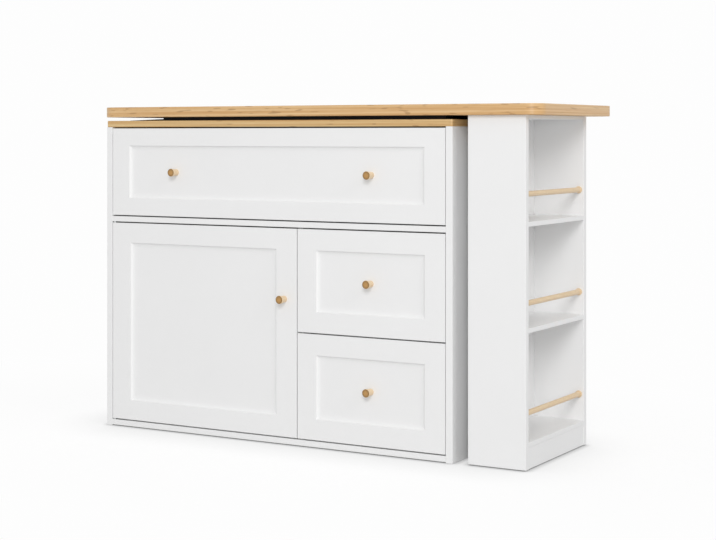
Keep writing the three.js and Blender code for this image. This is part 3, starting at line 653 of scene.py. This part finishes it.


# Glide strips between the tops; their black and their tapering tongue are also painted shade for the gap

stripAndGapShadeLook = {
    # the thin end, the tongue and the step follow the edge of the gap's shade: painted shade
    "thinEnd": 1.0, "thickEnd": 5.0, "tongue": 117.5, "step": 2, "ease": 0.3, "easeSteps": 2, "smooth": 35,
    "firstScrew": 135, "lastWithin": 30, "screwSpacing": 225, "headBelow": 0.8, "screwSize": 0.8,
    "pocket": [(1.6, -2.0), (3.0, -0.05), (3.0, 2.0)], "pocketSides": 32,
}
glideStripsAndGapShade = ("front_glide_strip", "rear_glide_strip")


def stripScrewSpots(node, look):
    low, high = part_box(node)
    spacing = look["screwSpacing"] * mm
    first = low.x + look["firstScrew"] * mm
    count = int((high.x - look["lastWithin"] * mm - first) / spacing) + 1
    y, z = (low.y + high.y) / 2, high.z - look["headBelow"] * mm
    return [Vector((first + k * spacing, y, z)) for k in range(count)]


def makeGlideStripsAndGapShade(look):  # moulded with a tongue that thickens along its length up to a step; the dark strip and its tongue stand in for the shade in the gap between the tops: painted shade
    pocketPattern = turn("pocketPattern", look["pocket"], look["pocketSides"])
    near = 0.1 * mm
    for node in glideStripsAndGapShade:
        low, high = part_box(node)
        strip = blockFor(node, node + "Moulded")
        editMode(strip)
        for cut in (look["tongue"], look["tongue"] + look["step"]):
            selectWhere(strip, "faces", lambda face: True)
            bpy.ops.mesh.bisect(plane_co=(low.x + cut * mm, 0, 0), plane_no=(1, 0, 0))
        for along, thickness in ((0, look["thinEnd"]), (look["tongue"], look["thickEnd"])):
            place = low.x + along * mm
            selectWhere(strip, "verts", lambda v: abs(v.co.x - place) < near and v.co.z > high.z - near)
            bpy.ops.transform.translate(value=(0, 0, low.z + thickness * mm - high.z))
        objectMode()
        for spot in stripScrewSpots(node, look):
            pocket = placeCopy(pocketPattern, "pocket", Matrix.Translation(spot))
            applied(strip, "pocket", "BOOLEAN", operation="DIFFERENCE", object=pocket)
            bpy.data.objects.remove(pocket)
        applied(strip, "eased edges", "BEVEL", width=look["ease"] * mm, segments=look["easeSteps"],
                limit_method="ANGLE")
        strip.data.materials.append(nylonAndGapShade)
        smooth(strip, look["smooth"])
        mount(strip, "cabinet", [node])
    bpy.data.objects.remove(pocketPattern)


makeGlideStripsAndGapShade(stripAndGapShadeLook)
print("glide strips made")


# Screws: a countersunk head with a cross recess, lying on +Z

screwLook = {
    "head": 3.6, "shank": 1.8, "countersink": 2.0, "dome": 0.35, "crown": 0.05, "sides": 16,
    "recess": 1.1, "recessFoot": 0.75, "recessReach": 0.6, "armPull": 0.6, "cornerPull": 0.42,
    "smooth": 30, "turnBetween": 0.7,  # radians from one screw to the next
}


def makeScrewPattern(look):
    head, dome = look["head"], look["dome"]
    top, recess = (dome + look["crown"]) * mm, look["recess"] * mm
    screw = turn("screwPattern", [
        (look["shank"], -look["countersink"]), (head, -0.1), (head, 0.05), (head * 0.82, dome),
        (head * 0.55, dome + look["crown"]),
    ], look["sides"])
    editMode(screw)
    selectWhere(screw, "faces", lambda f: f.normal.z > 0.9 and f.calc_center_median().z > top - hair / 2)
    bpy.ops.mesh.extrude_region_move(TRANSFORM_OT_translate={"value": (0, 0, -recess)})
    bpy.ops.transform.resize(
        value=(look["recessFoot"], look["recessFoot"], 1), center_override=(0, 0, top - recess))
    shape = bmesh.from_edit_mesh(screw.data)
    reach, below = head * look["recessReach"] * mm, recess + 0.1 * mm
    for vertex in shape.verts:  # pulls the recess in between its four arms
        inRecess = Vector(vertex.co.xy).length < reach and vertex.co.z > -below
        angle = math.degrees(math.atan2(vertex.co.y, vertex.co.x)) % 90
        if inRecess and 20 < angle < 70:
            pull = look["cornerPull"] if 40 < angle < 50 else look["armPull"]
            vertex.co.x *= pull
            vertex.co.y *= pull
    bmesh.update_edit_mesh(screw.data)
    objectMode()
    screw.data.materials.append(zinc)
    smooth(screw, look["smooth"])
    return screw


screwPattern = makeScrewPattern(screwLook)


def driveScrews(name, body, spots, facing, size):  # each head lies on its spot and looks the way it faces
    lay = Vector((0, 0, 1)).rotation_difference(Vector(facing)).to_matrix().to_4x4()
    for number, spot in enumerate(spots, 1):
        spun = Matrix.Rotation(number * screwLook["turnBetween"], 4, "Z")
        where = Matrix.Translation(spot) @ lay @ spun @ Matrix.Scale(size, 4)
        mount(placeCopy(screwPattern, f"{name}{number}", where), body)


slideScrewLook = {"shares": (0.09, 0.45, 0.85), "web": 1.2, "size": 0.9}


def screwSlides(look):  # into the cabinet through each channel's web
    for node in frame["nodes"]:
        if node.endswith("_channel"):
            low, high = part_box(node)
            faces = 1 if "left" in node else -1
            web = low.x + look["web"] * mm if faces > 0 else high.x - look["web"] * mm
            z = (low.z + high.z) / 2
            spots = [Vector((web, low.y + share * (high.y - low.y), z)) for share in look["shares"]]
            driveScrews(node + "Screw", "cabinet", spots, (faces, 0, 0), look["size"])


def screwGlideStrips(look):
    for node in glideStripsAndGapShade:
        driveScrews(node + "Screw", "cabinet", stripScrewSpots(node, look), (0, 0, 1), look["screwSize"])


backScrewLook = {"inset": 12, "rows": 4, "columns": 5, "size": 0.85}


def screwBackPanel(look):  # full rows at the top and bottom, and the two ends of the rows between
    low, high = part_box("back_panel")
    inset = look["inset"] * mm
    spots = []
    for row in range(look["rows"]):
        z = low.z + inset + row * (high.z - low.z - 2 * inset) / (look["rows"] - 1)
        across = look["columns"] if row in (0, look["rows"] - 1) else 2
        for column in range(across):
            x = low.x + inset + column * (high.x - low.x - 2 * inset) / (across - 1)
            spots.append(Vector((x, high.y, z)))
    driveScrews("backPanelScrew", "cabinet", spots, (0, 1, 0), look["size"])


knobScrewLook = {"size": 0.9}


def screwKnobs(look):  # each knob is held from behind, through its front
    for body, node in knobs:
        front = next(n for n in bodies[body] if n.endswith("_front") or n == "door_panel")
        spot = middleAt(node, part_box(front)[1].y)
        driveScrews(node + "Screw", body, [spot], (0, 1, 0), look["size"])


castorScrewLook = {"plate": 3, "across": 11, "along": 17, "size": 0.8}


def screwCastors(look):  # up through the bracket's plate
    across, along = look["across"] * mm, look["along"] * mm
    for end in ("front", "rear"):
        low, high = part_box(end + "_castor_bracket")
        middle = (low + high) / 2
        under = high.z - look["plate"] * mm
        spots = [
            Vector((middle.x + x, middle.y + y, under))
            for x in (-across, across) for y in (-along, along)]
        driveScrews(end + "CastorScrew", "table", spots, (0, 0, -1), look["size"])


screwSlides(slideScrewLook)
screwGlideStrips(stripAndGapShadeLook)
screwBackPanel(backScrewLook)
screwKnobs(knobScrewLook)
screwCastors(castorScrewLook)
bpy.data.objects.remove(screwPattern)
print("screws driven")


# Studio

cameraLook = {
    "at": (2.2295, -3.8229, 0.8247), "yaw": 29.93, "focal": 80.58, "sensor": 36, "shiftY": -0.1899,
}
floorLook = {
    "size": 60, "drop": 0.3, "color": "#DADADA", "shown": 1.18, "white": 0.985,
    "shadowShare": 0.15, "shadowReach": (0.9, 0.5), "shadowFade": (1.0, 2.2),
    "footShadows": [(0.2, 0.34), (0.02, 0.8)],  # reach and depth of a wide soft one and a close dark one
}
lightLook = {
    "world": 0.555, "shown": 0.985, "aim": (0, 0, 0.45),
    "lamps": [
        {"name": "keySoftbox", "at": (4.8, -9.6, 5.6), "width": 3.8, "height": 4.2, "power": 475},
        {"name": "lowSoftbox", "at": (4.2, -6.7, 1.2), "width": 1.6, "height": 0.8, "power": 40},
        {"name": "sideSoftbox", "at": (8.4, -2.2, 5.4), "width": 3.0, "height": 3.0, "power": 95},
        {"name": "backSoftbox", "at": (-2.6, 4.4, 3.0), "width": 2.6, "height": 2.6, "power": 40},
    ],
}


def makeCamera(look):
    data = bpy.data.cameras.new("camera")
    data.lens = look["focal"]
    data.sensor_width = look["sensor"]
    data.shift_y = look["shiftY"]
    camera = bpy.data.objects.new("camera", data)
    camera.location = look["at"]
    camera.rotation_euler = (math.radians(90), 0, math.radians(look["yaw"]))
    bpy.context.scene.collection.objects.link(camera)
    bpy.context.scene.camera = camera


def seenAsBackdrop(tree):  # 1 where the camera, a reflection or a see-through part looks at it
    path = addNode(tree, "ShaderNodeLightPath")
    either = addNode(tree, "ShaderNodeMath", {
        0: path.outputs["Is Camera Ray"], 1: path.outputs["Is Glossy Ray"]}, operation="MAXIMUM")
    seen = addNode(tree, "ShaderNodeMath", {
        0: either.outputs["Value"], 1: path.outputs["Is Transmission Ray"]}, operation="MAXIMUM")
    return seen.outputs["Value"]


def makeFloor(look):  # pale paper, shown near white, which takes the unit's shadow close round its foot
    deselectAll()
    bpy.ops.mesh.primitive_plane_add(size=look["size"], location=(0, 0, -look["drop"] * mm))
    floor = bpy.context.object
    floor.name = "floor"
    material, tree = newMaterial("studioFloor")
    material.cycles.emission_sampling = "NONE"
    place = addNode(tree, "ShaderNodeTexCoord").outputs["Object"]
    seen = seenAsBackdrop(tree)
    reachX, reachY = look["shadowReach"]
    spot = addNode(tree, "ShaderNodeMapping", {"Vector": place, "Scale": (1 / reachX, 1 / reachY, 1)})
    away = addNode(tree, "ShaderNodeVectorMath", {0: spot.outputs["Vector"]}, operation="LENGTH")
    fade = addNode(tree, "ShaderNodeMapRange", {
        "Value": away.outputs["Value"], "From Min": look["shadowFade"][0], "From Max": look["shadowFade"][1],
        "To Min": 1 - look["shadowShare"]}, interpolation_type="SMOOTHSTEP")
    share = addNode(tree, "ShaderNodeMath", {0: seen, 1: fade.outputs["Result"]}, operation="MULTIPLY")
    color = addNode(tree, "ShaderNodeMix", {
        "Factor": seen, "A": linear(look["color"]), "B": [look["shown"]] * 3 + [1.0],
    }, data_type="RGBA")
    paper = addNode(tree, "ShaderNodeBsdfDiffuse", {"Color": color.outputs["Result"]})
    level = look["white"]
    for distance, depth in look["footShadows"]:
        near = addNode(tree, "ShaderNodeAmbientOcclusion", {"Distance": distance}, samples=8)
        kept = addNode(tree, "ShaderNodeMath", {
            0: near.outputs["AO"], 1: depth, 2: 1 - depth}, operation="MULTIPLY_ADD")
        dimmed = addNode(tree, "ShaderNodeMath", {0: level, 1: kept.outputs["Value"]}, operation="MULTIPLY")
        level = dimmed.outputs["Value"]
    white = addNode(tree, "ShaderNodeEmission", {"Color": (1, 1, 1, 1), "Strength": level})
    shown = addNode(tree, "ShaderNodeMixShader", {
        0: share.outputs["Value"], 1: paper.outputs["BSDF"], 2: white.outputs["Emission"]})
    addNode(tree, "ShaderNodeOutputMaterial", {"Surface": shown.outputs["Shader"]})
    floor.data.materials.append(material)


def makeLight(look):
    world = bpy.data.worlds.new("studio")
    bpy.context.scene.world = world
    world.use_nodes = True
    tree = world.node_tree
    tree.nodes.clear()
    strength = addNode(tree, "ShaderNodeMix", {
        "Factor": seenAsBackdrop(tree), "A": look["world"], "B": look["shown"],
    }, data_type="FLOAT")
    background = addNode(tree, "ShaderNodeBackground", {
        "Color": (1, 1, 1, 1), "Strength": strength.outputs["Result"]})
    addNode(tree, "ShaderNodeOutputWorld", {"Surface": background.outputs["Background"]})
    for each in look["lamps"]:
        data = bpy.data.lights.new(each["name"], "AREA")
        data.shape = "RECTANGLE"
        data.size = each["width"]
        data.size_y = each["height"]
        data.energy = each["power"]
        lamp = bpy.data.objects.new(each["name"], data)
        lamp.location = each["at"]
        aim = Vector(look["aim"]) - lamp.location
        lamp.rotation_euler = aim.to_track_quat("-Z", "Y").to_euler()
        bpy.context.scene.collection.objects.link(lamp)
    bpy.context.scene.view_settings.view_transform = "Standard"


makeCamera(cameraLook)
makeFloor(floorLook)
makeLight(lightLook)
print("studio set")
